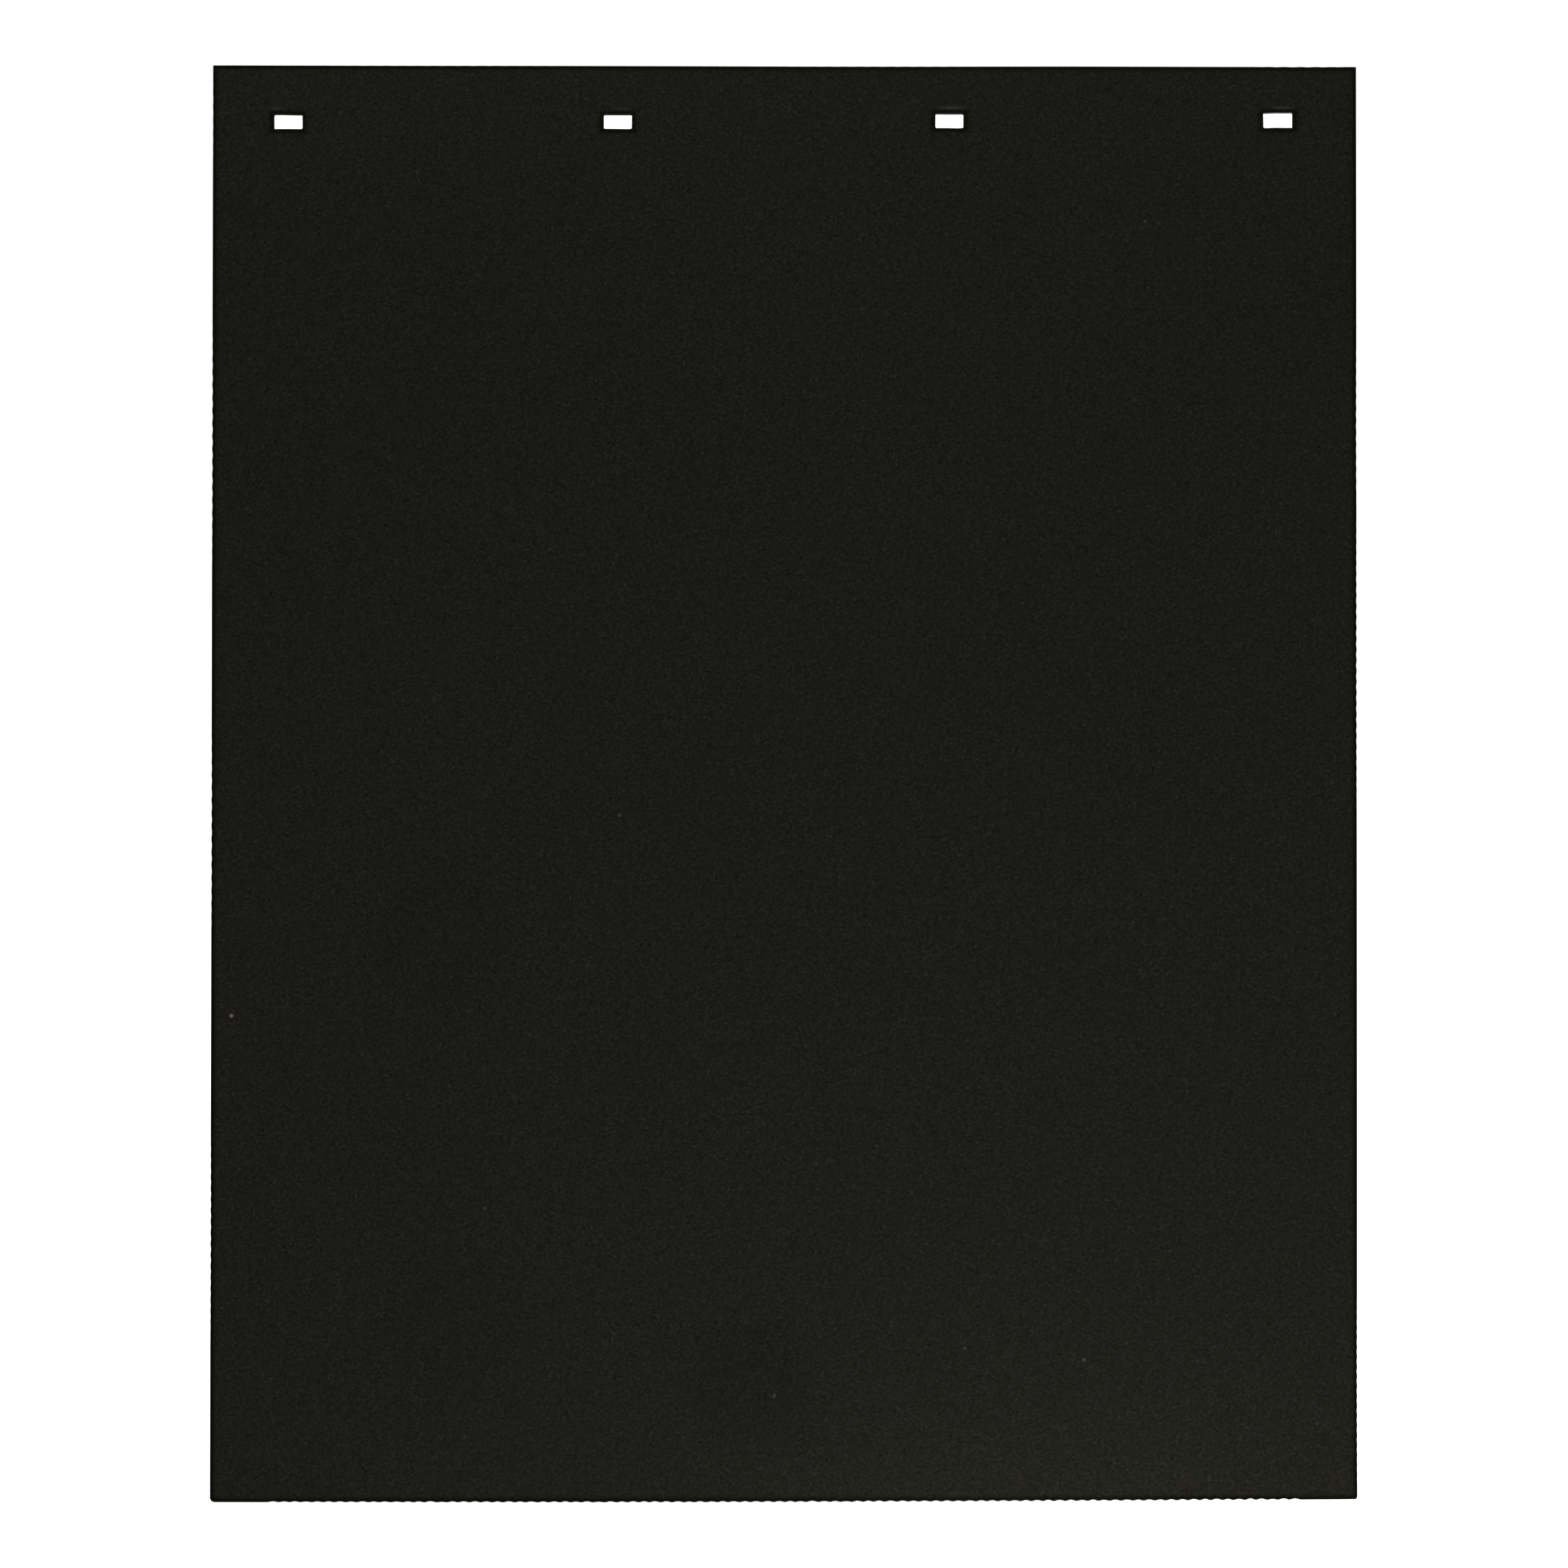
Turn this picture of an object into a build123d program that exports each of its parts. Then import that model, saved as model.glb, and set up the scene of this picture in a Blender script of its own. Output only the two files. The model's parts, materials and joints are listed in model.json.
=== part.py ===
from build123d import *
import os

# Mud flap: a rectangular sheet of rubber with two fabric plies moulded into it, which hangs
# behind a truck's wheel from bolts through the four slots along its top edge.
#
# The flap hangs upright. +Z is up, +X is to the right as seen from the front, and the front
# face looks along -Y. The origin is the middle of the slot row, on the back face.
# Sizes are in millimetres.

# Sheet
FLAP_WIDTH = 609.6  # 24 in
FLAP_HEIGHT = 762.0  # 30 in
FLAP_THICKNESS = 6.35  # 1/4 in
BOTTOM_LEFT_RADIUS = 2.5  # the knife leaves the lower corners a little round
BOTTOM_RIGHT_RADIUS = 1.6

# Layers: a cover and a ply on each side of the tie gum, which fills what they leave
COVER_THICKNESS = 1.6
PLY_THICKNESS = 0.8
TIE_GUM_THICKNESS = FLAP_THICKNESS - 2 * (COVER_THICKNESS + PLY_THICKNESS)

# Slots for the hanger's bolts
SLOT_COUNT = 4
SLOT_SPACING = 176.0
SLOT_LENGTH = 15.4
SLOT_HEIGHT = 7.9
SLOT_CORNER_RADIUS = 0.5
SLOT_LIP_RADIUS = 0.8  # the punch draws the front cover's rubber in round each slot
SLOT_DROP = 29.0  # from the flap's top edge to the middle of the slot row
SLOT_ROW_SHIFT = 0.8  # how far the row is punched to the left of the flap's middle
SLOT_ROW_RISE = 1.5  # how much higher the right-hand slot is punched than the left-hand one

# Scallops that the toothed knife leaves along the bottom edge
SCALLOP_COUNT = 92
SCALLOP_PITCH = 5.97
SCALLOP_DEPTH = 0.5

LEFT = SLOT_ROW_SHIFT - FLAP_WIDTH / 2
RIGHT = LEFT + FLAP_WIDTH
TOP = SLOT_DROP
BOTTOM = TOP - FLAP_HEIGHT

slot_centres = [
    (
        (i / (SLOT_COUNT - 1) - 0.5) * SLOT_SPACING * (SLOT_COUNT - 1),
        (i / (SLOT_COUNT - 1) - 0.5) * SLOT_ROW_RISE,
    )
    for i in range(SLOT_COUNT)
]

# The scalloped stretch is centred on the flap's width and is cut up into the straight edge.
# Each hollow is an arc between two points at half depth, and so is each tooth between hollows.
scallops_left = (LEFT + RIGHT) / 2 - SCALLOP_COUNT * SCALLOP_PITCH / 2
half_depth = BOTTOM + SCALLOP_DEPTH / 2
quarter_pitch = SCALLOP_PITCH / 4
hollow_middles = [
    scallops_left + (i + 0.5) * SCALLOP_PITCH for i in range(SCALLOP_COUNT)
]

# Outline of the whole sheet with its four slots, which every layer shares: all five layers are
# bonded first and cut together.
with BuildSketch() as flap_face:
    with BuildLine():
        # Left-hand side, from the top down
        Line((LEFT, TOP), (LEFT, BOTTOM + BOTTOM_LEFT_RADIUS))
        TangentArc(
            (LEFT, BOTTOM + BOTTOM_LEFT_RADIUS),
            (LEFT + BOTTOM_LEFT_RADIUS, BOTTOM),
            tangent=(0, -1),
        )
        Line((LEFT + BOTTOM_LEFT_RADIUS, BOTTOM), (scallops_left, BOTTOM))

        # Scalloped edge, from left to right
        first_hollow = (hollow_middles[0] - quarter_pitch, half_depth)
        TangentArc((scallops_left, BOTTOM), first_hollow, tangent=(1, 0))
        for middle in hollow_middles:
            ThreePointArc(
                (middle - quarter_pitch, half_depth),
                (middle, BOTTOM + SCALLOP_DEPTH),
                (middle + quarter_pitch, half_depth),
            )
        for middle in hollow_middles[:-1]:
            ThreePointArc(
                (middle + quarter_pitch, half_depth),
                (middle + 2 * quarter_pitch, BOTTOM),
                (middle + 3 * quarter_pitch, half_depth),
            )
        scallops_right = hollow_middles[-1] + SCALLOP_PITCH / 2
        last_hollow = (hollow_middles[-1] + quarter_pitch, half_depth)
        TangentArc((scallops_right, BOTTOM), last_hollow, tangent=(-1, 0))

        # Right-hand side, from the bottom up, and the top edge
        Line((scallops_right, BOTTOM), (RIGHT - BOTTOM_RIGHT_RADIUS, BOTTOM))
        TangentArc(
            (RIGHT - BOTTOM_RIGHT_RADIUS, BOTTOM),
            (RIGHT, BOTTOM + BOTTOM_RIGHT_RADIUS),
            tangent=(1, 0),
        )
        Polyline((RIGHT, BOTTOM + BOTTOM_RIGHT_RADIUS), (RIGHT, TOP), (LEFT, TOP))
    make_face()
    with Locations(*slot_centres):
        RectangleRounded(SLOT_LENGTH, SLOT_HEIGHT, SLOT_CORNER_RADIUS, mode=Mode.SUBTRACT)


def layer_plane(distance):
    """The plane, facing the front, that lies this far in front of the back face."""
    return Plane.XZ.offset(distance)


os.makedirs("parts", exist_ok=True)

# Back cover: plain rubber, whose outer face is the flap's back.
with BuildPart() as back_cover:
    with BuildSketch(layer_plane(0)):
        add(flap_face.sketch)
    extrude(amount=COVER_THICKNESS)
back_cover.part.label = "back_cover"
export_step(back_cover.part, "parts/back_cover.step")

# Back ply: rubber-coated cord fabric.
back_ply_plane = layer_plane(COVER_THICKNESS)
with BuildPart() as back_ply:
    with BuildSketch(back_ply_plane):
        add(flap_face.sketch)
    extrude(amount=PLY_THICKNESS)
back_ply.part.label = "back_ply"
export_step(back_ply.part, "parts/back_ply.step")

# Tie gum: soft rubber that bonds the two plies.
tie_gum_plane = back_ply_plane.offset(PLY_THICKNESS)
with BuildPart() as tie_gum:
    with BuildSketch(tie_gum_plane):
        add(flap_face.sketch)
    extrude(amount=TIE_GUM_THICKNESS)
tie_gum.part.label = "tie_gum"
export_step(tie_gum.part, "parts/tie_gum.step")

# Front ply: the same fabric as the back ply.
front_ply_plane = tie_gum_plane.offset(TIE_GUM_THICKNESS)
with BuildPart() as front_ply:
    with BuildSketch(front_ply_plane):
        add(flap_face.sketch)
    extrude(amount=PLY_THICKNESS)
front_ply.part.label = "front_ply"
export_step(front_ply.part, "parts/front_ply.step")

# Front cover: rubber with a rounded lip round each slot, where the punch went in.
with BuildPart() as front_cover:
    with BuildSketch(front_ply_plane.offset(PLY_THICKNESS)):
        add(flap_face.sketch)
    extrude(amount=COVER_THICKNESS)
    front_surface = front_cover.faces().sort_by(Axis.Y)[0]
    fillet(front_surface.inner_wires().edges(), SLOT_LIP_RADIUS)
front_cover.part.label = "front_cover"
export_step(front_cover.part, "parts/front_cover.step")

whole = front_cover.part.bounding_box().add(back_cover.part.bounding_box())
print(f"flap {whole.size.X:.1f} x {whole.size.Z:.1f} x {whole.size.Y:.2f} mm")
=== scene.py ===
import json
import math
from collections import namedtuple

import bpy
import numpy as np
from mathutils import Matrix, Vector
from mathutils.geometry import delaunay_2d_cdt


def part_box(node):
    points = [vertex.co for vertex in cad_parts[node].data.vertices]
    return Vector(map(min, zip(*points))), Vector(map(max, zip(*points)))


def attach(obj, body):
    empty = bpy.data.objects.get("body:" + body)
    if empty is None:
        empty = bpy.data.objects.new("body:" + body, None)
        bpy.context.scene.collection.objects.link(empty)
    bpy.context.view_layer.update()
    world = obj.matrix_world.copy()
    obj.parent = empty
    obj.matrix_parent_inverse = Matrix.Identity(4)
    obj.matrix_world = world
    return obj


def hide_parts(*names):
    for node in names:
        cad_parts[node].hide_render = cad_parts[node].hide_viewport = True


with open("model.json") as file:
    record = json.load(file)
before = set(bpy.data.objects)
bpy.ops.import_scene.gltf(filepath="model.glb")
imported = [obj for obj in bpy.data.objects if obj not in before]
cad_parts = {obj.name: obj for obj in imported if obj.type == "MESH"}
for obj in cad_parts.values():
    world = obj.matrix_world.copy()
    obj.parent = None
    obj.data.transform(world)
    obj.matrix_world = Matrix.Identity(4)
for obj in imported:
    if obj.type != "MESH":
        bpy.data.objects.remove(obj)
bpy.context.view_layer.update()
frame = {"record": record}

# Mud flap: five bonded sheets, each remodelled with the knife's scallops and chatter along its
# cut edges, the rolled lips of its punched slots, the cut ends of its plies' cords and the
# slight waviness of a moulded sheet. Everything is in metres, in the frame's axes: X across,
# Z up, and the front face towards -Y.

MM = 0.001

# ---------------------------------------------------------------- sizes, read from the frame

sheet_low, sheet_high = (Vector(corner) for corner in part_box("front_cover"))
LEFT, RIGHT = sheet_low.x, sheet_high.x
BOTTOM, TOP = sheet_low.z, sheet_high.z
WIDTH, HEIGHT = RIGHT - LEFT, TOP - BOTTOM
MIDDLE = np.array([(LEFT + RIGHT) / 2, (BOTTOM + TOP) / 2])
FRONT = sheet_low.y

record = frame["record"]
slot_mount = next(m for m in record["mounts"] if m["name"] == "hanger_slots")
slot_dims = slot_mount["dims"]
SLOT_SIZE = np.array([slot_dims["slot_length_mm"], 2 * slot_dims["hole_r_mm"]]) * MM
slot_boxes = [opening["box_m"] for opening in record["physics"]["openings"]]
slot_centres = [
    np.array([(low[0] + high[0]) / 2, (low[2] + high[2]) / 2]) for low, high in slot_boxes
]

KNIFE_SEED = 24
CORD_SEED = 8
random = np.random.default_rng(KNIFE_SEED)

# ---------------------------------------------------------------- the outline and its cut edge

CORNER_RADII = {"top": 0.3 * MM, "bottom_left": 2.5 * MM, "bottom_right": 1.6 * MM}
SLOT_CORNER_RADIUS = 0.75 * MM
CORNER_STEPS = 6

# The strip along a cut edge rolls over, and painted shade darkens it towards the edge. Round the
# slots the painted shade is softer and has its own width, which is less along their top sides.
RIM = 5.2 * MM
SLOT_SHADOW = 6.0 * MM
SLOT_TOP_SHADOW = 4.0 * MM
SLOT_DARKEST = 0.72

# Points along the cut edges: the plies' edges are finer, because each cord's end bulges.
EDGE_STEP = 0.8 * MM
CORD_PITCH = 1.3 * MM
STEPS_PER_CORD = 4

SCALLOP_PITCH = 5.97 * MM
SCALLOP_COUNT = 92
SCALLOP_WANDER = 0.22 * MM  # spread of the points between two scallops along the edge
SCALLOP_DEPTH_LEFT = 0.42 * MM
SCALLOP_DEPTH_RIGHT = 0.66 * MM
SCALLOP_DEPTH_SPREAD = 0.12  # as a share of the depth
SCALLOP_SHARPNESS = 1.6
BOTTOM_BOW = 0.75 * MM  # how far the middle of the bottom edge hangs below its ends

# Bursts of chatter of the knife along the other edges: from, to, pitch and depth in
# millimetres. The first two count down from the top edge on the sides, and from the left
# along the top.
LEFT_CHATTER = [
    (8, 52, 7.3, 0.10),
    (137, 267, 6.8, 0.26),
    (353, 461, 6.85, 0.24),
    (569, 677, 5.9, 0.22),
]
RIGHT_CHATTER = [(146, 232, 6.5, 0.20), (241, 396, 5.75, 0.26), (655, 756, 5.2, 0.24)]
TOP_CHATTER = [(60, 190, 8.4, 0.08), (300, 420, 8.2, 0.08), (556, 606, 8.4, 0.14)]
CHATTER_SWELL = 0.6  # how quickly a burst comes up to its full depth: lower is quicker
DRIFT = 0.05 * MM  # by which the knife wanders between DRIFT_KNOTS points of such an edge
DRIFT_KNOTS = 9


def scallops():
    """The depth cut into the bottom edge, as a function of the distance from its left end."""
    margin = (WIDTH - SCALLOP_COUNT * SCALLOP_PITCH) / 2
    ends = margin + SCALLOP_PITCH * np.arange(SCALLOP_COUNT + 1)
    ends[1:-1] += random.normal(0, SCALLOP_WANDER, SCALLOP_COUNT - 1)
    share = np.linspace(0, 1, SCALLOP_COUNT)
    depths = SCALLOP_DEPTH_LEFT + (SCALLOP_DEPTH_RIGHT - SCALLOP_DEPTH_LEFT) * share
    depths *= random.normal(1, SCALLOP_DEPTH_SPREAD, SCALLOP_COUNT)

    def depth_at(along):
        scallop = np.clip(np.searchsorted(ends, along) - 1, 0, SCALLOP_COUNT - 1)
        phase = (along - ends[scallop]) / (ends[scallop + 1] - ends[scallop])
        cut = depths[scallop] * np.sin(np.pi * np.clip(phase, 0, 1)) ** SCALLOP_SHARPNESS
        bow = BOTTOM_BOW * (1 - (2 * along / WIDTH - 1) ** 2)
        return cut - bow

    return depth_at


def chatter(bursts, length):
    """The same for a nearly straight edge with bursts of chatter."""
    drift = random.normal(0, 1, DRIFT_KNOTS)
    knots = np.linspace(0, length, DRIFT_KNOTS)

    def depth_at(along):
        cut = DRIFT * np.interp(along, knots, drift)
        for start, end, pitch, depth in bursts:
            inside = np.clip((along / MM - start) / (end - start), 0, 1)
            swell = np.sin(np.pi * inside) ** CHATTER_SWELL
            ripple = 0.5 * (1 - np.cos(2 * np.pi * along / MM / pitch))
            cut = cut + depth * MM * swell * ripple
        return cut

    return depth_at


bottom_cut = scallops()
right_cut = chatter(RIGHT_CHATTER, HEIGHT)
top_cut = chatter(TOP_CHATTER, WIDTH)
left_cut = chatter(LEFT_CHATTER, HEIGHT)


def rounded_rectangle(centre, size, radii, step):
    """Points and outward normals round a rectangle, anticlockwise from its lower left corner.

    radii are those of the lower left, lower right, upper right and upper left corners.
    """
    points, normals = [], []
    signs = np.array([(-1, -1), (1, -1), (1, 1), (-1, 1)])
    hubs = [centre + sign * (size / 2 - radius) for sign, radius in zip(signs, radii)]
    for i, (hub, radius) in enumerate(zip(hubs, radii)):
        for k in range(CORNER_STEPS + 1):
            angle = math.radians(180 + 90 * (i + k / CORNER_STEPS))
            normal = np.array([math.cos(angle), math.sin(angle)])
            points.append(hub + radius * normal)
            normals.append(normal)
        # the straight side from this corner to the next one
        start = points[-1]
        end = hubs[(i + 1) % 4] + radii[(i + 1) % 4] * normal
        count = max(2, round(float(np.linalg.norm(end - start)) / step))
        for k in range(1, count):
            points.append(start + (end - start) * k / count)
            normals.append(normal)
    return np.array(points), np.array(normals)


CORD_FLUSHEST = 0.35  # how far the least of the cords' ends stands out, as a share of the most
STRAIGHT = 0.999  # the least that a side's own normal component is on its straight stretch


class Loop:
    """One closed edge of the sheet: its outside, or one slot. depth is how far the cut goes into
    the sheet at each of its points."""

    def __init__(self, centre, size, points, normals, depth, hole):
        self.centre, self.size, self.points, self.hole = centre, size, points, hole
        self.cut = -normals * depth[:, None]
        self.outward = -normals if hole else normals
        step = np.linalg.norm(points - np.roll(points, 1, axis=0), axis=1)
        turns = np.cumsum(step) / CORD_PITCH
        self.beads = np.cos(np.pi * turns) ** 2 * self.uneven_cords(turns)
        # The painted shade along the edge: how wide it is at each point, and the most of it
        self.shadow, self.darkest = np.full(len(points), RIM), 1.0
        self.scuff, self.scuff_above = np.zeros(len(points)), 0.0

    @staticmethod
    def uneven_cords(turns):
        """How far the cord at each point stands out: some were cut nearly flush."""
        cords = np.floor(turns + 0.5).astype(int)
        heights = np.random.default_rng(CORD_SEED).uniform(CORD_FLUSHEST, 1.0, cords.max() + 1)
        return heights[cords]

    def inset(self, distance):
        """The edge moved into the rubber by a distance, with its cut marks fading out."""
        grow = 2 * distance / self.size * (1 if self.hole else -1)
        moved = self.centre + (self.points - self.centre) * (1 + grow)
        return moved + self.cut * max(0.0, 1 - distance / RIM)

    def darkness(self, distance):
        """How dark the painted shade along the edge is, at a distance from it."""
        return np.clip(1 - distance / self.shadow, 0, self.darkest)


def outside_loop(step):
    """The sheet's outside edge, with its scallops and chatter."""
    radii = [CORNER_RADII[corner] for corner in ("bottom_left", "bottom_right", "top", "top")]
    points, normals = rounded_rectangle(MIDDLE, np.array([WIDTH, HEIGHT]), radii, step)
    from_left, from_top = points[:, 0] - LEFT, TOP - points[:, 1]
    across, up = normals.T
    sides = [up < -STRAIGHT, across > STRAIGHT, up > STRAIGHT, across < -STRAIGHT]
    cuts = [bottom_cut(from_left), right_cut(from_top), top_cut(from_left), left_cut(from_top)]
    depth = np.select(sides, cuts, 0.0)
    # The corners' own arcs take the depth of the side that they run into.
    straight = np.any(sides, axis=0)
    where = np.arange(len(points))
    depth = np.interp(where, where[straight], depth[straight])
    return Loop(MIDDLE, np.array([WIDTH, HEIGHT]), points, normals, depth, hole=False)


# Each slot's own errors, in millimetres: how far its middle is off, across and up, and how much
# longer and higher it came out. Then the painted highlight above it, where the lip that the
# punch drew in catches the light from below: from and to, as shares of its length, how far
# above its edge in millimetres, and how strong.
Slot = namedtuple("Slot", "across up longer higher scuff_from scuff_to scuff_above scuff")
SLOTS = [
    Slot(-0.04, -0.15, -0.20, -0.02, 0.02, 0.45, 2.9, 0.60),
    Slot(-0.57, -0.33, -0.38, -0.04, 0.38, 0.84, 2.8, 0.55),
    Slot(0.37, -0.19, -0.23, -0.12, 0.12, 0.95, 2.90, 0.85),
    Slot(-0.14, -0.13, 0.58, 0.40, 0.30, 0.92, 2.30, 1.0),
]
HIGHLIGHT_WIDTH = 0.6 * MM
HIGHLIGHT_SWELL = 0.7  # how quickly a painted highlight comes up to its full strength from its ends
TOP_SIDE = 0.7  # the least upward component of a normal along a slot's top side
DRAWN_IN = 0.06 * MM  # spread of what the rubber draws in by, at SLOT_KNOTS points round a slot
SLOT_KNOTS = 12


def slot_loop(number, step):
    """A punched slot, whose sides the rubber has drawn in unevenly."""
    slot = SLOTS[number]
    centre = slot_centres[number] + np.array([slot.across, slot.up]) * MM
    size = SLOT_SIZE + np.array([slot.longer, slot.higher]) * MM
    points, normals = rounded_rectangle(centre, size, [SLOT_CORNER_RADIUS] * 4, step)
    uneven = np.random.default_rng(number).normal(0, DRAWN_IN, SLOT_KNOTS)
    uneven[-1] = uneven[0]
    share = np.linspace(0, 1, len(points))
    depth = np.interp(share, np.linspace(0, 1, SLOT_KNOTS), uneven)
    loop = Loop(centre, size, points, normals, depth, hole=True)
    # The painted highlight along the top side, where the drawn-in lip catches the light from below
    across = (points[:, 0] - centre[0]) / size[0] + 0.5
    inside = np.clip((across - slot.scuff_from) / (slot.scuff_to - slot.scuff_from), 0, 1)
    strength = slot.scuff * np.sin(np.pi * inside) ** HIGHLIGHT_SWELL
    upward = np.clip(normals[:, 1], 0, 1)
    loop.scuff = np.where(upward > TOP_SIDE, strength, 0.0)
    loop.scuff_above = slot.scuff_above * MM
    # Painted shade round the slot, narrower along its top side
    loop.shadow = SLOT_SHADOW + (SLOT_TOP_SHADOW - SLOT_SHADOW) * upward
    loop.darkest = SLOT_DARKEST
    return loop


# How far the knife was out of true at each corner of the sheet, across and up, in millimetres.
OUT_OF_TRUE = {
    "bottom_left": (-0.18, -0.88),
    "bottom_right": (-0.27, -0.45),
    "top_left": (0.49, 0.40),
    "top_right": (0.06, 0.85),
}


def out_of_true(points):
    """The points moved by the corners' errors, each in proportion to how near it is."""
    right, up = ((points - MIDDLE) / (WIDTH, HEIGHT) + 0.5).T
    shares = {
        "bottom_left": (1 - right) * (1 - up),
        "bottom_right": right * (1 - up),
        "top_left": (1 - right) * up,
        "top_right": right * up,
    }
    moves = [np.outer(shares[corner], OUT_OF_TRUE[corner]) for corner in shares]
    return points + sum(moves) * MM


# ---------------------------------------------------------------- the sheet's waviness

# Height in millimetres, waves per width across and upwards, and phase in radians.
WAVES = [
    (0.30, 1.0, 0.6, 0.4),
    (0.22, -0.7, 1.5, 2.1),
    (0.15, 2.1, 0.9, 4.0),
    (0.10, 1.4, -2.6, 1.2),
]
DENT_AT = np.array([-12, -656]) * MM  # a shallow dent near the bottom edge
DENT_RADIUS, DENT_DEPTH = 24 * MM, 0.10 * MM


def wave(points):
    """How far the sheet stands towards the back at each point."""
    across, up = ((points - MIDDLE) / WIDTH).T
    away = 0
    for height, waves_across, waves_up, phase in WAVES:
        turns = waves_across * across + waves_up * up
        away = away + height * MM * np.sin(2 * np.pi * turns + phase)
    near = ((points - DENT_AT) ** 2).sum(axis=1) / DENT_RADIUS**2
    return away + DENT_DEPTH * np.exp(-near)


# ---------------------------------------------------------------- meshes of the five layers

GRID_STEP = 10 * MM
ONLY_INSIDE = 1  # delaunay_2d_cdt's output type for the triangles inside the outer edge
SAME_POINT = 1e-9  # metres
SHARP_EDGE = math.radians(50)


def within(polygon, points):
    """Which of the points lie inside a closed row of points."""
    ends = np.roll(polygon, -1, axis=0)
    x, z = points[:, :1], points[:, 1:]
    level = ends[:, 1] == polygon[:, 1]
    rise = np.where(level, 1.0, ends[:, 1] - polygon[:, 1])
    crossing = polygon[:, 0] + (z - polygon[:, 1]) * (ends[:, 0] - polygon[:, 0]) / rise
    crossed = ((polygon[:, 1] > z) != (ends[:, 1] > z)) & (x < crossing)
    return crossed.sum(axis=1) % 2 == 1


class Outline:
    """The sheet's closed edges at one spacing of points, and what fills the sheet inside the
    strips along them: the points of a grid, and triangles."""

    def __init__(self, step):
        self.loops = [outside_loop(step)] + [slot_loop(i, step) for i in range(len(SLOTS))]
        rows = [out_of_true(loop.inset(RIM)) for loop in self.loops]
        edges, start = [], 0
        for row in rows:
            edges += [(start + i, start + (i + 1) % len(row)) for i in range(len(row))]
            start += len(row)
        xs = np.arange(LEFT + 2 * RIM, RIGHT - 2 * RIM, GRID_STEP)
        zs = np.arange(BOTTOM + 2 * RIM, TOP - 2 * RIM, GRID_STEP)
        grid = np.stack(np.meshgrid(xs, zs), axis=-1).reshape(-1, 2)
        for centre in slot_centres:
            away = np.abs(grid - centre) > SLOT_SIZE / 2 + 2 * RIM
            grid = grid[away.any(axis=1)]
        points = np.concatenate(rows + [grid])
        corners = [Vector(point) for point in points]
        filled = delaunay_2d_cdt(corners, edges, [], ONLY_INSIDE, SAME_POINT)
        faces, old = filled[2:4]
        number = np.array([ids[0] for ids in old])
        triangles = number[np.array(faces)]
        middles = points[triangles].mean(axis=1)
        in_slot = np.any([within(row, middles) for row in rows[1:]], axis=0)
        self.grid, self.triangles = grid, triangles[~in_slot]


# One row of points round a layer's edge: how far in from the edge, how far behind the layer's
# front, whether it lies on the knife's cut, and how far the cords' ends bulge there.
Row = namedtuple("Row", "inset depth cut bead", defaults=(0.0, 0.0))


def layer_mesh(name, outline, front, back, edge_rows, slot_rows):
    """A closed sheet between two depths. Each list of rows runs round the layer's cut edge,
    from the front face to the back."""
    verts, faces, first_rows, last_rows = [], [], [], []
    marks = {"rim_painted_shade": [], "cut": [], "cord": [], "scuff": []}
    total = 0
    for loop in outline.loops:
        rows = slot_rows if loop.hole else edge_rows
        count = len(loop.points)
        start = total
        for row in rows:
            beads = loop.beads * row.bead
            flat = out_of_true(loop.inset(row.inset) + loop.outward * beads[:, None])
            verts.append(np.column_stack([flat[:, 0], front + row.depth + wave(flat), flat[:, 1]]))
            # How dark the painted shade along the edge is at this row
            marks["rim_painted_shade"].append(loop.darkness(row.inset))
            marks["cut"].append(np.full(count, row.cut))
            marks["cord"].append(loop.beads if row.bead else np.zeros(count))
            # The painted highlight, a little above a slot's edge
            off = (row.inset - loop.scuff_above) / HIGHLIGHT_WIDTH
            marks["scuff"].append(loop.scuff * math.exp(-off * off) * (1 - row.cut))
            total += count
        i = np.arange(count)
        j = (i + 1) % count
        for r in range(len(rows) - 1):
            a, b = start + r * count, start + (r + 1) * count
            quads = [a + i, b + i, b + j, a + j]
            if loop.hole:
                quads.reverse()
            faces += np.column_stack(quads).tolist()
        first_rows.append(np.arange(start, start + count))
        last_rows.append(np.arange(total - count, total))

    grid, grid_y = outline.grid, wave(outline.grid)
    for y, ends, order in ((front, first_rows, (0, 1, 2)), (back, last_rows, (0, 2, 1))):
        number = np.concatenate(ends + [total + np.arange(len(grid))])
        faces += number[outline.triangles][:, order].tolist()
        verts.append(np.column_stack([grid[:, 0], y + grid_y, grid[:, 1]]))
        for values in marks.values():
            values.append(np.zeros(len(grid)))
        total += len(grid)

    mesh = bpy.data.meshes.new(name)
    mesh.from_pydata(np.concatenate(verts).tolist(), [], faces)
    mesh.polygons.foreach_set("use_smooth", [True] * len(mesh.polygons))
    mesh.set_sharp_from_angle(angle=SHARP_EDGE)
    for mark, values in marks.items():
        attribute = mesh.attributes.new(mark, "FLOAT", "POINT")
        attribute.data.foreach_set("value", np.concatenate(values))
    mesh.update()
    piece = bpy.data.objects.new(name, mesh)
    bpy.context.scene.collection.objects.link(piece)
    return piece


FLAT_INSETS = (4.2 * MM, 3.6 * MM, 3.2 * MM, 2.6 * MM)
ROLL_SHARES = (1.0, 0.87, 0.75, 0.55, 0.38, 0.22, 0.1, 0.0)
ROLL_CURVE = 2.2
CUT_BEGINS = 0.04 * MM  # how far under the lip the smooth face gives way to the cut
WALL_BULGE = 0.03 * MM  # of a cover's cut edge
BULGE_AT = 0.45  # where the cut edge bulges most, as a share of its height from the lip


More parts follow.
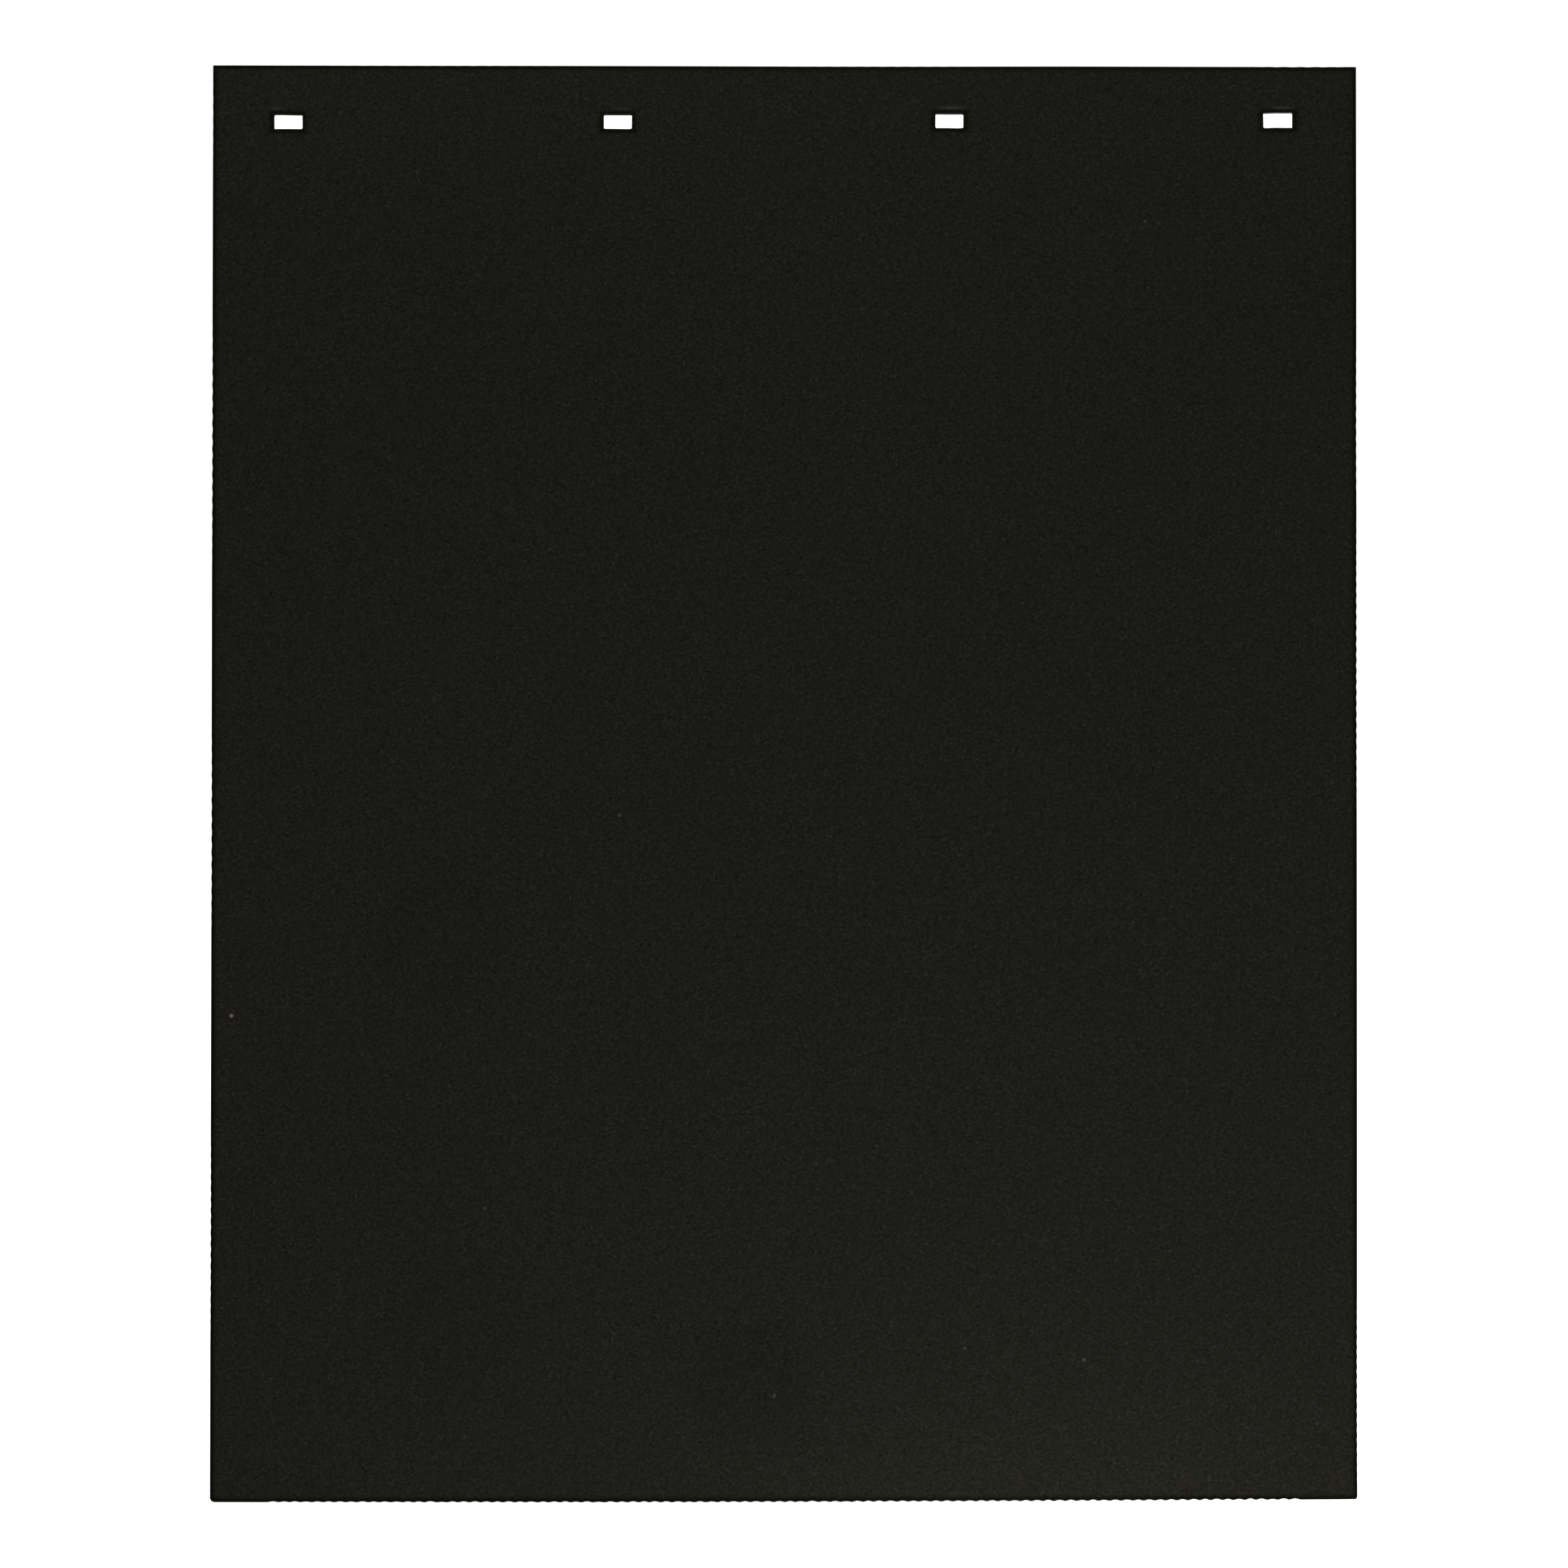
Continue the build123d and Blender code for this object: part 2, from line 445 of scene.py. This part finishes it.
def cover_rows(thickness, lip, roll):
    """A cover whose front rolls down by lip over the width roll, and whose back is flat."""
    rows = [Row(RIM, 0.0)]
    rows += [Row(inset, 0.0) for inset in FLAT_INSETS if inset > roll]
    rows += [Row(roll * share, lip * (1 - share) ** ROLL_CURVE) for share in ROLL_SHARES]
    rows += [Row(-WALL_BULGE / 3, lip + CUT_BEGINS, 1.0)]
    rows += [Row(-WALL_BULGE, lip + BULGE_AT * (thickness - lip), 1.0)]
    rows += [Row(0.0, thickness, 1.0), Row(RIM, thickness)]
    return rows


def turned_over(rows, thickness):
    """The same rows for a cover whose outer face is at its back."""
    return [row._replace(depth=thickness - row.depth) for row in reversed(rows)]


GUM_RECESS = 0.02 * MM
GUM_HOLLOW = 0.04 * MM
GUM_SHARES = (0.0, 0.25, 0.5, 0.75, 1.0)


def gum_rows(thickness):
    """The tie gum's cut edge, which draws in a little half-way through."""
    wall = [
        Row(GUM_RECESS + GUM_HOLLOW * math.sin(math.pi * share), share * thickness, 1.0)
        for share in GUM_SHARES
    ]
    return [Row(RIM, 0.0)] + wall + [Row(RIM, thickness)]


CORD_BULGE = 0.16 * MM
CORD_RECESS = 0.12 * MM
CORD_SHARES = (0.0, 0.14, 0.32, 0.5, 0.68, 0.86, 1.0)


def ply_rows(thickness):
    """A ply's cut edge, a little behind the rubber's, where each cord's end bulges."""
    wall = [
        Row(CORD_RECESS, share * thickness, 1.0, CORD_BULGE * math.sin(math.pi * share))
        for share in CORD_SHARES
    ]
    return [Row(RIM, 0.0)] + wall + [Row(RIM, thickness)]


def make_layer(node, outline, edge_rows, slot_rows):
    """The sheet that takes the place of one CAD node."""
    low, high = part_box(node)
    piece = layer_mesh(node + "_sheet", outline, low[1], high[1], edge_rows, slot_rows)
    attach(piece, "root")
    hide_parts(node)
    return piece


def thickness_of(node):
    """How thick a CAD node's layer is."""
    low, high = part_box(node)
    return high[1] - low[1]


cover = thickness_of("front_cover")
ply = thickness_of("front_ply")
gum = thickness_of("tie_gum")

knife = Outline(EDGE_STEP)
corded = Outline(CORD_PITCH / STEPS_PER_CORD)

# How far each cover's edge rolls down, and over what width
FRONT_ROLL = (0.45 * MM, 1.7 * MM)
SLOT_ROLL = (0.60 * MM, 3.0 * MM)
BACK_ROLL = (0.25 * MM, 0.8 * MM)

front_edge = cover_rows(cover, *FRONT_ROLL)
front_slot = cover_rows(cover, *SLOT_ROLL)
back_edge = turned_over(cover_rows(cover, *BACK_ROLL), cover)

front_cover = make_layer("front_cover", knife, front_edge, front_slot)
front_ply = make_layer("front_ply", corded, ply_rows(ply), ply_rows(ply))
tie_gum = make_layer("tie_gum", knife, gum_rows(gum), gum_rows(gum))
back_ply = make_layer("back_ply", corded, ply_rows(ply), ply_rows(ply))
back_cover = make_layer("back_cover", knife, back_edge, back_edge)


# ---------------------------------------------------------------- materials


class Paint:
    """The node tree of one material. Most methods add a node and return its output."""

    def __init__(self, name, specular):
        self.material = bpy.data.materials.new(name)
        self.material.use_nodes = True
        self.tree = self.material.node_tree
        self.tree.nodes.clear()
        self.shader = self.tree.nodes.new("ShaderNodeBsdfPrincipled")
        self.shader.inputs["Specular IOR Level"].default_value = specular
        output = self.tree.nodes.new("ShaderNodeOutputMaterial")
        self.tree.links.new(self.shader.outputs["BSDF"], output.inputs["Surface"])
        self.place = self.add("TexCoord", output="Object")

    def give(self, socket, value):
        """Link a socket to another node's output, or set its value."""
        if isinstance(value, bpy.types.NodeSocket):
            self.tree.links.new(value, socket)
        else:
            socket.default_value = value

    def add(self, kind, inputs=(), output=0, **settings):
        """A node of any kind, with its inputs linked or set. Returns one of its outputs."""
        node = self.tree.nodes.new("ShaderNode" + kind)
        for name, value in settings.items():
            setattr(node, name, value)
        for name, value in dict(inputs).items():
            self.give(node.inputs[name], value)
        return node.outputs[output]

    def combine(self, operation, a, b):
        return self.add("Math", {0: a, 1: b}, operation=operation)

    def ramp(self, value, start, end, low=0.0, high=1.0, smooth=False):
        """The value, going from low to high as it goes from start to end."""
        limits = {"Value": value, "From Min": start, "From Max": end, "To Min": low, "To Max": high}
        kind = "SMOOTHSTEP" if smooth else "LINEAR"
        return self.add("MapRange", limits, interpolation_type=kind)

    def placed(self, turn=(0, 0, 0), scale=(1, 1, 1)):
        """Coordinates on the piece, turned so that a pattern's own grid doesn't show."""
        return self.add("Mapping", {"Vector": self.place, "Rotation": turn, "Scale": scale})

    def noise(self, vector, scale, detail=0.0):
        return self.add("TexNoise", {"Vector": vector, "Scale": scale, "Detail": detail})

    def mark(self, name):
        """A value that layer_mesh has stored at the points of the mesh."""
        return self.add("Attribute", output="Fac", attribute_name=name)

    def tint(self, colour, strength):
        return self.add("VectorMath", {0: colour, "Scale": strength}, operation="SCALE")

    def mix(self, share, a, b):
        return self.add("Mix", {0: share, 6: a, 7: b}, output=2, data_type="RGBA")

    def mix_value(self, share, a, b):
        return self.add("Mix", {0: share, 2: a, 3: b}, data_type="FLOAT")

    def threads(self, pitch, direction, distortion):
        """Bands a pitch apart, as of threads lying side by side."""
        scale = math.pi / (10 * pitch)
        inputs = {"Vector": self.place, "Scale": scale, "Distortion": distortion}
        return self.add("TexWave", inputs, bands_direction=direction)

    def away_from(self, across, up, wide=1.0, high=1.0):
        """The distance from a point of the face, measured along the face. Given a width and a
        height, it is 1 all round the ellipse that has them as its radii."""
        flat = self.placed(scale=(1 / wide, 0, 1 / high))
        ends = {0: flat, 1: (across / wide, 0, up / high)}
        return self.add("VectorMath", ends, output="Value", operation="DISTANCE")

    def finish(self, colour, roughness, height, distance, strength):
        """The material, with a bump that is distance deep where the height goes from 0 to 1."""
        self.give(self.shader.inputs["Base Color"], colour)
        self.give(self.shader.inputs["Roughness"], roughness)
        bump = self.add("Bump", {"Height": height, "Distance": distance, "Strength": strength})
        self.give(self.shader.inputs["Normal"], bump)
        return self.material


TURN = (0.61, 0.37, 0.83)  # of the patterns, in radians

# Noise comes out mostly between these two values, so ramps of it go from the one to the other.
NOISE_LOW, NOISE_HIGH = 0.3, 0.7

# The covers' rubber. Scales are in pattern cells per metre.
GREY = (0.0340, 0.0350, 0.0312)
OLIVE = (0.0030, 0.0046, -0.0042)  # what makes the grey rubber a little olive
COVER_SPECULAR = 0.14
FRONT_GRAIN_SCALE = 690
BACK_GRAIN_SCALE = 900
GRAIN_STRETCH = (0.92, 1, 1.06)
GRAIN_CONTRAST = 7.6
PATCH_SCALE = 160  # of the patches where the grain is smoother and rougher
PATCH_NOISE = (0.35, 0.65)  # the noise where the grain is smoothest and roughest
PATCH_CONTRAST = (0.72, 1.28)
CLOUD_SCALE = 9
CLOUD_SHADES = (0.96, 1.04)
CLOUD_ROUGHNESS = (0.62, 0.70)
FLECK_SCALE = 620
FLECK_EDGE = (0.40, 0.12)  # where a fleck begins and is full, as distances in its cell
FLECK_CHOSEN = (0.55, 0.85)  # the cells' random values at which flecks begin and are full
FLECK_STRENGTH = 1.0
SPOTS = ((240, 0.55), (290, -0.50))  # scale and strength of the larger pale and dark spots
SPOT_EDGE = (0.30, 0.10)
SPOT_CHOSEN = (0.72, 0.90)
PIT_SCALE = 3400
PIT_SHADES = (0.8, 1.2)
PIT_DEPTH = 0.3  # as a share of the grain's
GRAIN_DEPTH = 0.4 * MM
GRAIN_BUMP = 0.8
LINER_PITCH = 0.98 * MM  # of the threads that the press's liner cloth leaves in the back face
LINER_WOBBLE = 0.6
LINER_IMPRINT = 0.8
LINER_SHADE = 0.3  # by how much a fully imprinted thread is lighter, and a gap darker

# Painted shade that darkens the rubber towards a cut edge: the power that gives the fade its
# shape, the value at which it is fully dark, and the shade that it has there.
RIM_FADE = 3.5
RIM_FULLY_DARK = 0.39
RIM_SHADE = 0.08

# Cut rubber, with striations that run through the sheet
CUT_RUBBER = (0.0200, 0.0215, 0.0120)
STRIATION_SCALE = 1500
STRIATION_STRETCH = (1, 0.12, 1)
STRIATION_SHADES = (0.6, 1.5)

# Painted highlight above the slots, where their drawn-in lips catch the light from below
HIGHLIGHT_COLOUR = (0.130, 0.132, 0.108, 1)
HIGHLIGHT_GRAIN_SCALE = 1400
HIGHLIGHT_GRAIN_SHADES = (0.2, 1.6)

# Patches of painted shade on the front face, in millimetres: across, up, radius of the fully
# shaded middle, outer radius. Then the shade there, as a share of the rubber's own, and how
# much of what it lacks the very middle regains.
PAINTED_SHADE_PATCHES = [
    (-17.4, -669.9, 19, 46, 0.88, 0.0),
    (-182.8, -434.6, 24, 46, 0.92, 0.6),
    (-176.3, -642.7, 26, 44, 0.95, 0.3),
]

# Faint rust-red stains, most of them along the bottom edge, in millimetres: across, up, radius
# across, radius up, and how strong.
STAINS = [
    (215.2, -725.1, 9.0, 11.0, 0.60),
    (293.8, -724.7, 6.0, 11.0, 0.66),
    (126.7, -724.3, 6.0, 8.5, 0.64),
    (243.7, -731.0, 10.5, 4.5, 1.0),
    (193.2, -731.2, 6.0, 4.0, 0.6),
    (-293.1, -476.1, 5.8, 5.8, 1.0),
]
RUST_TINT = (1.24, 0.92, 1.02)
EVEN_CORE = 0.3  # the share of its radius over which a stain or a patch's middle is even

# Specks of dust on the front face, in millimetres: across, up, radius, and how strong.
DUST = [
    (-293.1, -476.1, 1.5, 0.95),
    (159.7, -659.1, 1.5, 0.27),
    (-87.2, -369.6, 1.4, 0.22),
    (-158.7, -578.2, 1.3, 0.20),
    (-4.8, -677.9, 1.4, 0.22),
    (192.6, -53.0, 1.1, 0.28),
    (96.3, -652.9, 0.9, 0.30),
]
DUST_COLOUR = (0.50, 0.47, 0.44, 1)
DUST_CORE = 0.2


def cut_rubber(paint):
    """Colour and height of rubber that a knife has cut: fine striations through the sheet."""
    striations = paint.noise(paint.placed(scale=STRIATION_STRETCH), STRIATION_SCALE, 2)
    shade = paint.ramp(striations, NOISE_LOW, NOISE_HIGH, *STRIATION_SHADES)
    return paint.tint(CUT_RUBBER, shade), striations


def scattered(paint, place, scale, edge, chosen, strength):
    """Soft round spots in some of a pattern's cells. A spot begins and is full at the distances
    edge from its cell's point, and cells begin to have one at the random values chosen."""
    cells = paint.add("TexVoronoi", {"Vector": place, "Scale": scale})
    spot = paint.ramp(cells, *edge, 0, strength, smooth=True)
    return paint.combine("MULTIPLY", spot, paint.ramp(cells.node.outputs["Color"], *chosen))


def cover_rubber(name, grain_scale, imprint):
    """The moulded face of a cover: a pebbled grain with flecks and spots, cloudy patches, and
    painted shade along every cut edge. imprint is how strongly the press's liner cloth shows."""
    paint = Paint(name, COVER_SPECULAR)
    turned = paint.placed(turn=TURN)
    grain = paint.noise(paint.placed(turn=TURN, scale=GRAIN_STRETCH), grain_scale, 1)
    clouds = paint.noise(turned, CLOUD_SCALE, 3)
    pits = paint.noise(turned, PIT_SCALE, 1)

    # Shade: the grain's, times the clouds' and the pits', with the flecks and spots added
    patches = paint.noise(turned, PATCH_SCALE, 1)
    contrast = paint.ramp(patches, *PATCH_NOISE, *PATCH_CONTRAST)
    relief = paint.combine("MULTIPLY", paint.combine("SUBTRACT", grain, 0.5), contrast)
    shade = paint.combine("POWER", GRAIN_CONTRAST, relief)
    cloudy = paint.ramp(clouds, NOISE_LOW, NOISE_HIGH, *CLOUD_SHADES)
    shade = paint.combine("MULTIPLY", shade, cloudy)
    fleck = scattered(paint, turned, FLECK_SCALE, FLECK_EDGE, FLECK_CHOSEN, FLECK_STRENGTH)
    shade = paint.combine("ADD", shade, fleck)
    for scale, strength in SPOTS:
        spot = scattered(paint, turned, scale, SPOT_EDGE, SPOT_CHOSEN, strength)
        shade = paint.combine("ADD", shade, spot)
    pitted = paint.ramp(pits, NOISE_LOW, NOISE_HIGH, *PIT_SHADES)
    shade = paint.combine("MULTIPLY", shade, pitted)

    height = paint.combine("ADD", grain, paint.combine("MULTIPLY", pits, PIT_DEPTH))
    if imprint:
        warp, weft = (paint.threads(LINER_PITCH, axis, LINER_WOBBLE) for axis in "XZ")
        weave = paint.combine("MAXIMUM", warp, weft)
        height = paint.combine("ADD", height, paint.combine("MULTIPLY", weave, imprint))
        change = LINER_SHADE * imprint
        woven = paint.ramp(weave, 0.2, 1.0, 1 - change, 1 + change)
        shade = paint.combine("MULTIPLY", shade, woven)

    # Painted shade, darkening the rubber towards every cut edge and round the slots
    rim_painted_shade = paint.combine("POWER", paint.mark("rim_painted_shade"), RIM_FADE)
    shade = paint.combine("MULTIPLY", shade, paint.ramp(rim_painted_shade, 0, RIM_FULLY_DARK, 1, RIM_SHADE))
    colour = paint.add("VectorMath", {0: paint.tint(GREY, shade), 1: OLIVE}, operation="ADD")
    if not imprint:
        colour = stains_and_painted_light(paint, colour)

    cut_colour, striations = cut_rubber(paint)
    cut = paint.mark("cut")
    colour = paint.mix(cut, colour, cut_colour)
    height = paint.mix_value(cut, height, striations)
    roughness = paint.ramp(clouds, NOISE_LOW, NOISE_HIGH, *CLOUD_ROUGHNESS)
    return paint.finish(colour, roughness, height, GRAIN_DEPTH, GRAIN_BUMP)


def stains_and_painted_light(paint, colour):
    """The colour with the front face's patches of painted shade, its stains, the painted
    highlights above the slots, and dust.
    """
    # Patches of painted shade, some with a lighter middle
    for across, up, core, radius, shade, regained in PAINTED_SHADE_PATCHES:
        away = paint.away_from(across * MM, up * MM)
        patch_shade = paint.ramp(away, radius * MM, core * MM, 1, shade, smooth=True)
        lighter = 1 + regained * (1 - shade)
        middle = paint.ramp(away, core * MM, EVEN_CORE * core * MM, 1, lighter, smooth=True)
        colour = paint.tint(colour, paint.combine("MULTIPLY", patch_shade, middle))
    for across, up, wide, high, strength in STAINS:
        away = paint.away_from(across * MM, up * MM, wide * MM, high * MM)
        share = paint.ramp(away, 1, EVEN_CORE, 0, strength, smooth=True)
        rusty = paint.add("VectorMath", {0: colour, 1: RUST_TINT}, operation="MULTIPLY")
        colour = paint.mix(share, colour, rusty)
    # The painted highlight above the slots, broken up by a fine grain
    highlight_noise = paint.noise(paint.placed(turn=TURN), HIGHLIGHT_GRAIN_SCALE, 1)
    highlight_grain = paint.ramp(highlight_noise, NOISE_LOW, NOISE_HIGH, *HIGHLIGHT_GRAIN_SHADES)
    scuff = paint.combine("MULTIPLY", paint.mark("scuff"), highlight_grain)
    colour = paint.mix(scuff, colour, HIGHLIGHT_COLOUR)
    for across, up, radius, strength in DUST:
        away = paint.away_from(across * MM, up * MM)
        speck = paint.ramp(away, radius * MM, DUST_CORE * radius * MM, 0, strength, smooth=True)
        colour = paint.mix(speck, colour, DUST_COLOUR)
    return colour


GUM_SPECULAR = 0.4
GUM_BLACK = (0.012, 0.012, 0.011, 1)
BLOTCH_SCALE = 60
BLOTCH_NOISE = (0.4, 0.7)  # the noise where a smeared blotch begins and is full
BLOTCH_STRENGTH = 0.5
GUM_ROUGHNESS = (0.42, 0.6)
GUM_DEPTH = 0.1 * MM
GUM_BUMP = 0.6


def gum_rubber(name):
    """Softer, blacker rubber, smeared a little by the knife."""
    paint = Paint(name, GUM_SPECULAR)
    colour, striations = cut_rubber(paint)
    blotches = paint.noise(paint.placed(turn=TURN), BLOTCH_SCALE, 3)
    smeared = paint.ramp(blotches, *BLOTCH_NOISE, 0.0, BLOTCH_STRENGTH)
    colour = paint.mix(smeared, colour, GUM_BLACK)
    roughness = paint.ramp(blotches, NOISE_LOW, NOISE_HIGH, *GUM_ROUGHNESS)
    return paint.finish(colour, roughness, striations, GUM_DEPTH, GUM_BUMP)


FABRIC_SPECULAR = 0.25
FABRIC_GAP = (0.018, 0.016, 0.014, 1)  # between the threads
FABRIC_THREAD = (0.075, 0.062, 0.047, 1)
FABRIC_WOBBLE = 0.3
WEFT_DEPTH = 0.8  # the cross threads' height, as a share of the cords'
CORD_BLACK = (0.014, 0.013, 0.012, 1)  # the rubber round the cords' cut ends
CORD_END = (0.17, 0.135, 0.095, 1)
TUFT_SHOWS = (0.18, 0.55)  # how far out a cord's end begins to show, and shows fully
FIBRE_SCALE = 5200
FIBRE_SHADES = (0.6, 1.3)
FIBRE_DEPTH = 0.6  # as a share of the cords' height
FABRIC_ROUGHNESS = (0.75, 0.95)
FABRIC_DEPTH = 0.12 * MM
FABRIC_BUMP = 0.8


def ply_fabric(name):
    """Cord fabric coated in rubber: cords one way, lower threads across them, and along the cut
    edge the frayed pale end of each cord in black rubber."""
    paint = Paint(name, FABRIC_SPECULAR)
    fibres = paint.noise(paint.placed(turn=TURN), FIBRE_SCALE, 2)
    warp, weft = (paint.threads(CORD_PITCH, axis, FABRIC_WOBBLE) for axis in "XZ")
    weave = paint.combine("MAXIMUM", warp, paint.combine("MULTIPLY", weft, WEFT_DEPTH))
    face = paint.mix(paint.ramp(weave, 0.3, 1.0), FABRIC_GAP, FABRIC_THREAD)

    frayed = paint.ramp(fibres, NOISE_LOW, NOISE_HIGH, *FIBRE_SHADES)
    tuft = paint.combine("MULTIPLY", paint.mark("cord"), frayed)
    ends = paint.mix(paint.ramp(tuft, *TUFT_SHOWS), CORD_BLACK, CORD_END)
    colour = paint.mix(paint.mark("cut"), face, ends)
    height = paint.combine("ADD", weave, paint.combine("MULTIPLY", fibres, FIBRE_DEPTH))
    roughness = paint.ramp(fibres, NOISE_LOW, NOISE_HIGH, *FABRIC_ROUGHNESS)
    return paint.finish(colour, roughness, height, FABRIC_DEPTH, FABRIC_BUMP)


front_face_rubber = cover_rubber("front_face_rubber", FRONT_GRAIN_SCALE, imprint=0)
back_face_rubber = cover_rubber("back_face_rubber", BACK_GRAIN_SCALE, imprint=LINER_IMPRINT)
gum_material = gum_rubber("tie_gum_rubber")
ply_material = ply_fabric("ply_cord_fabric")

for piece, material, slot in (
    (front_cover, front_face_rubber, "cover_rubber"),
    (back_cover, back_face_rubber, "cover_rubber"),
    (tie_gum, gum_material, "gum_rubber"),
    (front_ply, ply_material, "ply_fabric"),
    (back_ply, ply_material, "ply_fabric"),
):
    piece.data.materials.append(material)

# ---------------------------------------------------------------- camera

CAMERA_DISTANCE = 3.0
CAMERA_ASIDE = math.radians(-0.94)  # the camera stands a little to the left of square on
CAMERA_BELOW = math.radians(-0.79)  # and a little below it
FRAME_WIDTH = 0.8340  # what the picture spans at the flap
AIM_ASIDE, AIM_UP = -0.55 * MM, -1.0 * MM  # from the flap's middle
SENSOR = 36.0  # millimetres

target = Vector((MIDDLE[0] + AIM_ASIDE, FRONT, MIDDLE[1] + AIM_UP))
direction = Vector(
    (
        math.sin(CAMERA_ASIDE) * math.cos(CAMERA_BELOW),
        -math.cos(CAMERA_ASIDE) * math.cos(CAMERA_BELOW),
        math.sin(CAMERA_BELOW),
    )
)
camera_data = bpy.data.cameras.new("camera")
camera_data.sensor_width = SENSOR
camera_data.lens = SENSOR * CAMERA_DISTANCE / FRAME_WIDTH
camera = bpy.data.objects.new("camera", camera_data)
camera.location = target + direction * CAMERA_DISTANCE
camera.rotation_euler = (-direction).to_track_quat("-Z", "Y").to_euler()
bpy.context.scene.collection.objects.link(camera)
bpy.context.scene.camera = camera

# ---------------------------------------------------------------- studio

# The flap hangs, so the floor is below even a camera that looks up at it. It shows to the camera
# but lights nothing.
FLOOR_CLEARANCE = 0.4
FLOOR_Z = target.z - CAMERA_DISTANCE - FLOOR_CLEARANCE
FLOOR_REACH = 40.0
FLOOR_COLOUR = (0.9, 0.9, 0.9, 1)
FLOOR_ROUGHNESS = 0.9

floor_mesh = bpy.data.meshes.new("floor")
floor_signs = ((-1, -1), (1, -1), (1, 1), (-1, 1))
floor_corners = [(x * FLOOR_REACH, y * FLOOR_REACH, FLOOR_Z) for x, y in floor_signs]
floor_mesh.from_pydata(floor_corners, [], [(0, 1, 2, 3)])
floor = bpy.data.objects.new("floor", floor_mesh)
bpy.context.scene.collection.objects.link(floor)
floor.visible_diffuse = False
floor.visible_glossy = False
floor_paint = Paint("floor_paint", 0.0)
floor_paint.give(floor_paint.shader.inputs["Base Color"], FLOOR_COLOUR)
floor_paint.give(floor_paint.shader.inputs["Roughness"], FLOOR_ROUGHNESS)
floor_mesh.materials.append(floor_paint.material)

# The sun lights only the floor, to the backdrop's white.
SUN_ENERGY = 4.2
SUN_ANGLE = math.radians(40)
SUN_TILT = (math.radians(8), math.radians(-6), 0)
sun_data = bpy.data.lights.new("floor_sun", "SUN")
sun_data.energy = SUN_ENERGY
sun_data.angle = SUN_ANGLE
sun = bpy.data.objects.new("floor_sun", sun_data)
sun.rotation_euler = SUN_TILT
bpy.context.scene.collection.objects.link(sun)
floor_only = bpy.data.collections.new("lit_by_floor_sun")
floor_only.objects.link(floor)
sun.light_linking.receiver_collection = floor_only

# The backdrop is white to the camera, and lights the flap only dimly.
SEEN_STRENGTH = 1.3
DIM_STRENGTH = 0.169
world = bpy.data.worlds.new("studio")
bpy.context.scene.world = world
world.use_nodes = True
world_nodes, world_links = world.node_tree.nodes, world.node_tree.links
world_nodes.clear()
seen = world_nodes.new("ShaderNodeBackground")
seen.inputs["Strength"].default_value = SEEN_STRENGTH
dim = world_nodes.new("ShaderNodeBackground")
dim.inputs["Strength"].default_value = DIM_STRENGTH
for background in (seen, dim):
    background.inputs["Color"].default_value = (1, 1, 1, 1)
path = world_nodes.new("ShaderNodeLightPath")
either = world_nodes.new("ShaderNodeMixShader")
world_out = world_nodes.new("ShaderNodeOutputWorld")
world_links.new(path.outputs["Is Camera Ray"], either.inputs["Fac"])
world_links.new(dim.outputs["Background"], either.inputs[1])
world_links.new(seen.outputs["Background"], either.inputs[2])
world_links.new(either.outputs["Shader"], world_out.inputs["Surface"])


def area_light(name, place, aim, size, power):
    """A rectangular light at a place that points at aim. The camera doesn't see it."""
    data = bpy.data.lights.new(name, "AREA")
    data.shape = "RECTANGLE"
    data.size, data.size_y = size
    data.energy = power
    lamp = bpy.data.objects.new(name, data)
    lamp.location = place
    lamp.rotation_euler = (Vector(aim) - Vector(place)).to_track_quat("-Z", "Y").to_euler()
    lamp.visible_camera = False
    bpy.context.scene.collection.objects.link(lamp)


# These make the face brighter towards its bottom edge, most of all at the lower right, and a
# little along its top edge. The last one lights the back.
low_edge = BOTTOM - 0.1
area_light("low_right", (0.5, -1.0, BOTTOM - 0.35), (0.25, 0, BOTTOM + 0.1), (1.0, 0.6), 1.39)
area_light("low_left", (-0.5, -0.9, BOTTOM - 0.3), (-0.1, 0, BOTTOM + 0.1), (0.8, 0.6), 0.188)
area_light("near_right", (0.22, -0.16, low_edge), (0.22, 0, BOTTOM + 0.05), (0.4, 0.08), 0.0426)
area_light("near_left", (-0.09, -0.16, low_edge), (-0.09, 0, BOTTOM + 0.05), (0.22, 0.08), 0.0096)
area_light(
    "near_middle", (0.12, -0.07, BOTTOM - 0.06), (0.12, 0, BOTTOM + 0.02), (0.24, 0.03), 0.0099
)
area_light("top_edge", (-0.05, -0.10, TOP + 0.09), (-0.05, 0, TOP - 0.02), (0.7, 0.06), 0.026)
area_light("behind", (0.9, 2.2, -1.3), (0, 0, MIDDLE[1]), (2.0, 1.6), 8)

# These stand behind the front face's plane, so that they light only the cut edges and the back.
EDGE_POWER = 10
area_light("left_edge", (-2.0, 0.45, 0.3), (LEFT, 0, MIDDLE[1]), (0.6, 1.6), EDGE_POWER)
area_light("right_edge", (2.0, 0.45, -0.3), (RIGHT, 0, MIDDLE[1]), (0.6, 1.6), EDGE_POWER)
area_light("above", (0.2, 0.45, 2.0), (0, 0, TOP), (1.6, 0.6), EDGE_POWER)
area_light("below", (0.2, 0.45, BOTTOM - 1.6), (0, 0, BOTTOM), (1.6, 0.6), EDGE_POWER)

bpy.context.scene.view_settings.view_transform = "Standard"
